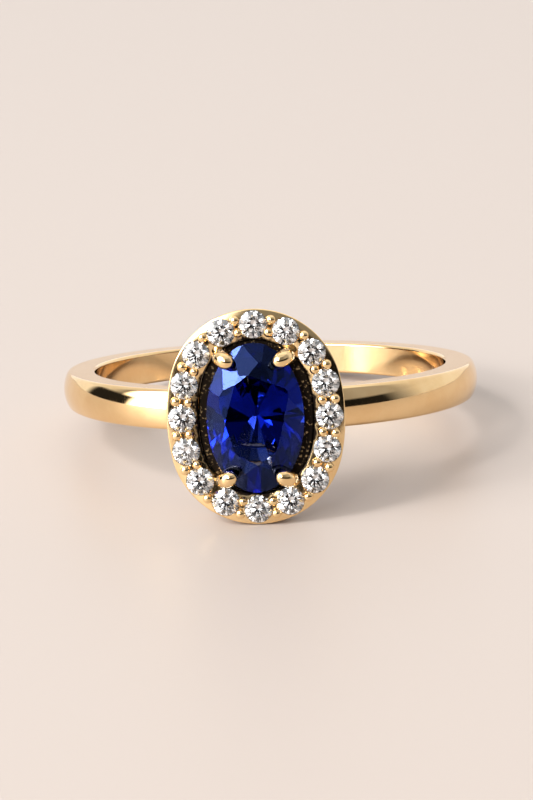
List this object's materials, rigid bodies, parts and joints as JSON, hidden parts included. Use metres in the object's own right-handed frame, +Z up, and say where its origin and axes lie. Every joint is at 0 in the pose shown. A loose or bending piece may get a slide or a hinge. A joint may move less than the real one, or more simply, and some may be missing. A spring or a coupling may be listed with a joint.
{
  "type": "engagement ring",
  "caption": "Plain polished band carrying an oval claw-set centre stone inside an oval tray of small round brilliants held by raised grains.",
  "frame": {"origin": "centre of the finger hole, on its axis and halfway across the band's width", "axes": "the ring lies on its side on a level surface, as it rests on a table; +Z is up, -Y is the side that the head is on and +X is to the right of a person facing the head. The hole's axis leans 10.8 degrees from +Z towards +Y, because the edge of the head props up the front"},
  "size_m": [0.02, 0.023, 0.0097],
  "materials": {
    "gold": "polished yellow gold",
    "sapphire": "polished facets, deep royal blue",
    "diamond": "polished facets, colourless"
  },
  "bodies": {
    "root": {"shank": "gold", "base_rail": "gold", "seat_rail": "gold", "halo_tray": "gold", "claw_upper_left": "gold", "claw_upper_right": "gold", "claw_lower_left": "gold", "claw_lower_right": "gold", "center_sapphire": "sapphire", "halo_diamond_01": "diamond", "halo_diamond_02": "diamond", "halo_diamond_03": "diamond", "halo_diamond_04": "diamond", "halo_diamond_05": "diamond", "halo_diamond_06": "diamond", "halo_diamond_07": "diamond", "halo_diamond_08": "diamond", "halo_diamond_09": "diamond", "halo_diamond_10": "diamond", "halo_diamond_11": "diamond", "halo_diamond_12": "diamond", "halo_diamond_13": "diamond", "halo_diamond_14": "diamond", "halo_diamond_15": "diamond", "halo_diamond_16": "diamond"}
  },
  "joints": []
}
